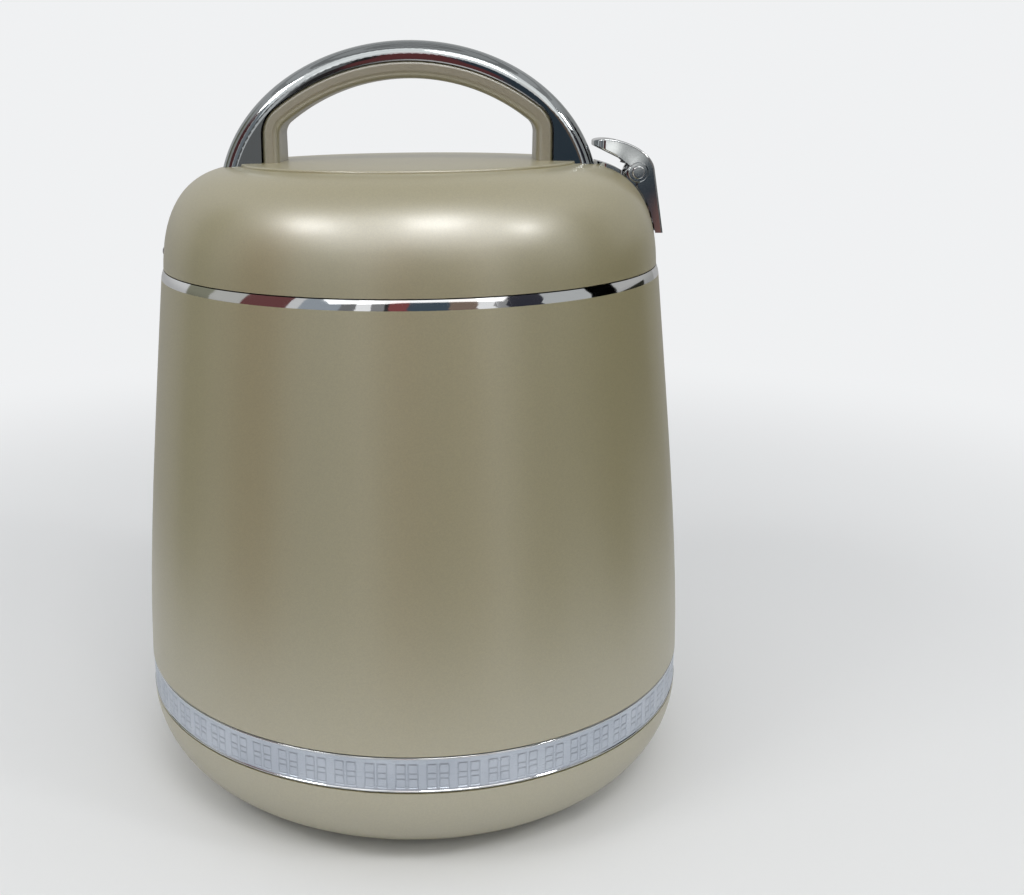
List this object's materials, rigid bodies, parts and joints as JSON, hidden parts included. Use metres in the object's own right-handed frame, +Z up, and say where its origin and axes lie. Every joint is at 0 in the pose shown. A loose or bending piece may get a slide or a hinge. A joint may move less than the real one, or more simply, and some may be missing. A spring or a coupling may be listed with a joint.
{
  "type": "insulated casserole",
  "caption": "Round insulated food casserole with a steel inner pot, a hinged domed lid, a carrying arch on the lid and a thumb latch on its shoulder.",
  "frame": {"origin": "centre of the face the casserole stands on", "axes": "+Z up through the lid, +X towards the latch, hinge towards -X, carrying arch along X"},
  "size_m": [0.2142, 0.2142, 0.2792],
  "materials": {
    "champagne_shell": "pearl metallic lacquer, semi-gloss",
    "silver_band": "satin silver with a raised fret",
    "chrome_trim": "mirror",
    "steel_liner": "satin",
    "dark_plastic": "fine matte",
    "insulation": "rigid foam",
    "rubber_foot": "matte",
    "silicone_seal": "matte",
    "steel_hardware": "zinc plated"
  },
  "bodies": {
    "casserole_body": {"outer_shell": "champagne_shell", "base_cup": "champagne_shell", "base_band": "silver_band", "foot_ring": "rubber_foot", "base_screws": "steel_hardware", "inner_pot": "steel_liner", "rim_collar": "dark_plastic", "chrome_trim_ring": "chrome_trim", "body_foam": "insulation", "hinge_bracket": "steel_hardware", "hinge_bracket_screws": "steel_hardware", "hinge_pin": "steel_hardware", "catch_keeper": "steel_hardware", "keeper_screws": "steel_hardware"},
    "lid": {"lid_shell": "champagne_shell", "lid_foam": "insulation", "lid_frame": "dark_plastic", "lid_frame_screws": "steel_hardware", "lid_liner": "steel_liner", "lid_gasket": "silicone_seal", "hinge_leaf": "steel_hardware", "hinge_leaf_screws": "steel_hardware", "handle_arch": "chrome_trim", "handle_grip": "champagne_shell", "handle_screws": "steel_hardware", "latch_bracket": "chrome_trim", "latch_bracket_screws": "steel_hardware", "latch_pin": "chrome_trim", "latch_spring": "steel_hardware"},
    "latch": {"latch_lever": "chrome_trim"}
  },
  "joints": [
    {"name": "lid_hinge", "type": "hinge", "parent": "casserole_body", "child": "lid", "pos_m": [-0.0899, 0, 0.205], "axis": [0, -1, 0], "range_deg": [0, 100]},
    {"name": "latch_press", "type": "hinge", "parent": "lid", "child": "latch", "pos_m": [0.0842, 0, 0.2323], "axis": [0, -1, 0], "range_deg": [0, 7], "stiffness_Nm_per_rad": 0.4, "springref_deg": -11.46, "deforming": ["latch_spring"]}
  ]
}
